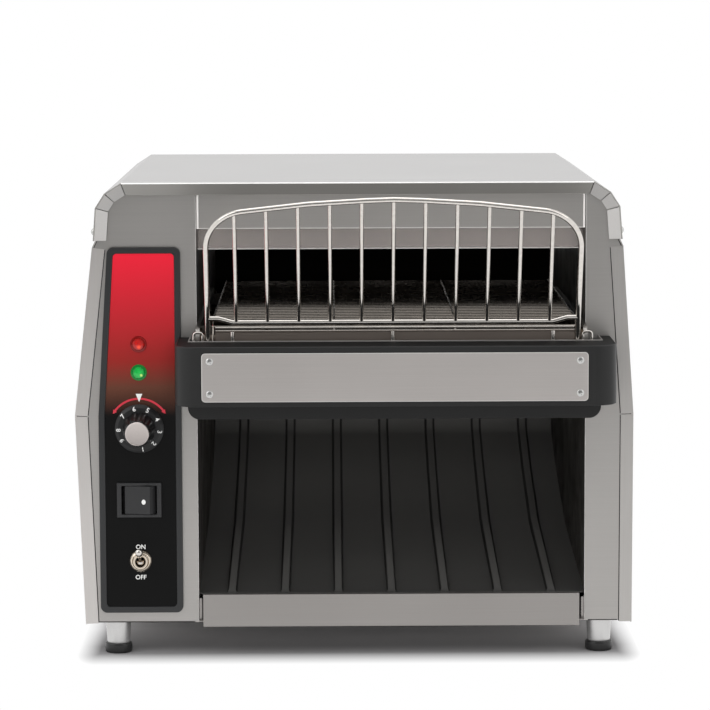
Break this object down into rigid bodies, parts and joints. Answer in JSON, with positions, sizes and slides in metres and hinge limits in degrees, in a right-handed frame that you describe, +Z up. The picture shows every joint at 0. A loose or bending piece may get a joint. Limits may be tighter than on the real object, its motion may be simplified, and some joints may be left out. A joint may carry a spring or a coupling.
{
  "type": "conveyor toaster",
  "caption": "Countertop conveyor toaster with a wire belt through a heated tunnel, a wire loading guard, a return chute, a crumb tray and a side column of controls.",
  "frame": {"origin": "on the surface that the feet stand on, under the middle of the whole object's box", "axes": "+Z up, the front with the controls and the belt's mouth faces -Y, +X to the right as one looks at the front"},
  "size_m": [0.4205, 0.4959, 0.3585],
  "materials": {
    "brushed_stainless": "brushed",
    "chamber_steel": "dull, heat stained",
    "belt_steel": "heat blackened",
    "bright_wire": "polished",
    "machined_steel": "machined",
    "black_enamel": "satin",
    "black_steel": "satin powder coat",
    "bare_plate": "brushed",
    "heater_sheath": "oxidised",
    "bezel_plastic": "fine grain",
    "label_film": "satin",
    "black_plastic": "satin",
    "switch_plastic": "satin",
    "red_lens": "clear",
    "green_lens": "clear",
    "cap_metal": "spun",
    "plated_nut": "plated",
    "zinc_screw": "plated",
    "foot_rubber": "matt",
    "cast_case": "cast",
    "motor_paint": "satin",
    "bush_bronze": "sintered",
    "board_laminate": "solder mask"
  },
  "bodies": {
    "housing": {"top_cover": "brushed_stainless", "left_side_panel": "brushed_stainless", "right_side_panel": "brushed_stainless", "front_fascia": "brushed_stainless", "rear_panel": "brushed_stainless", "base_pan": "brushed_stainless", "housing_screws": "zinc_screw", "foot_legs": "bright_wire", "foot_pads": "foot_rubber", "left_tunnel_wall": "chamber_steel", "right_tunnel_wall": "chamber_steel", "hood_front_plate": "brushed_stainless", "hood_inner_plate": "chamber_steel", "upper_reflector": "chamber_steel", "upper_heaters": "heater_sheath", "lower_reflector": "chamber_steel", "lower_heaters": "heater_sheath", "conveyor_rails": "machined_steel", "conveyor_bushes": "bush_bronze", "conveyor_belt": "belt_steel", "motor_standoffs": "machined_steel", "gearbox": "cast_case", "gear_motor": "motor_paint", "fan_frame": "black_plastic", "speed_board": "board_laminate", "terminal_block": "black_plastic", "cord_inlet": "black_plastic", "discharge_chute": "black_enamel", "bumper": "black_steel", "shelf_mount_plate": "black_steel", "catch_tray": "brushed_stainless", "front_badge": "bare_plate", "badge_screws": "zinc_screw", "guard_seats": "bright_wire", "control_bezel": "bezel_plastic", "control_label": "label_film", "power_lamp": "red_lens", "ready_lamp": "green_lens", "speed_pot": "machined_steel", "rocker_frame": "switch_plastic", "rocker_body": "switch_plastic", "toggle_nut": "plated_nut", "toggle_body": "black_plastic"},
    "speed_knob": {"knob_shaft": "machined_steel", "dial_skirt": "black_plastic", "knob_barrel": "black_plastic", "knob_cap": "cap_metal"},
    "rocker": {"rocker_paddle": "switch_plastic"},
    "toggle": {"toggle_lever": "bright_wire"},
    "belt_drive": {"drive_shaft": "machined_steel", "drive_discs": "machined_steel", "shaft_coupling": "machined_steel", "output_shaft": "machined_steel"},
    "belt_idler": {"idler_shaft": "machined_steel", "idler_discs": "machined_steel"},
    "cooling_fan": {"fan_rotor": "black_plastic"},
    "crumb_drawer": {"crumb_tray": "brushed_stainless"},
    "loading_guard": {"guard_arch": "bright_wire", "guard_rods": "bright_wire", "guard_cross_wire": "bright_wire"}
  },
  "joints": [
    {"name": "speed_turn", "type": "hinge", "parent": "housing", "child": "speed_knob", "pos_m": [-0.1618, -0.17287, 0.1734], "axis": [0, -1, 0], "range_deg": [-122, 171]},
    {"name": "rocker_tilt", "type": "hinge", "parent": "housing", "child": "rocker", "pos_m": [-0.1624, -0.16187, 0.1192], "axis": [0, 0, 1], "range_deg": [0, 20]},
    {"name": "toggle_flick", "type": "hinge", "parent": "housing", "child": "toggle", "pos_m": [-0.1618, -0.16917, 0.0726], "axis": [1, 0, 0], "range_deg": [0, 56]},
    {"name": "drive_spin", "type": "hinge", "parent": "housing", "child": "belt_drive", "pos_m": [0.03, 0.12713, 0.24092], "axis": [1, 0, 0], "continuous": true},
    {"name": "idler_spin", "type": "hinge", "parent": "housing", "child": "belt_idler", "pos_m": [0.03, -0.17287, 0.24092], "axis": [1, 0, 0], "continuous": true},
    {"name": "fan_spin", "type": "hinge", "parent": "housing", "child": "cooling_fan", "pos_m": [-0.16, 0.22813, 0.13], "axis": [0, 1, 0], "continuous": true},
    {"name": "crumb_tray_slide", "type": "slide", "parent": "housing", "child": "crumb_drawer", "axis": [0, -1, 0], "range_m": [0, 0.26]},
    {"name": "guard_lift", "type": "slide", "parent": "housing", "child": "loading_guard", "axis": [0, 0, 1], "range_m": [0, 0.045]}
  ],
  "couplings": [
    {"joint": "idler_spin", "follows": "drive_spin", "ratio": 1}
  ]
}
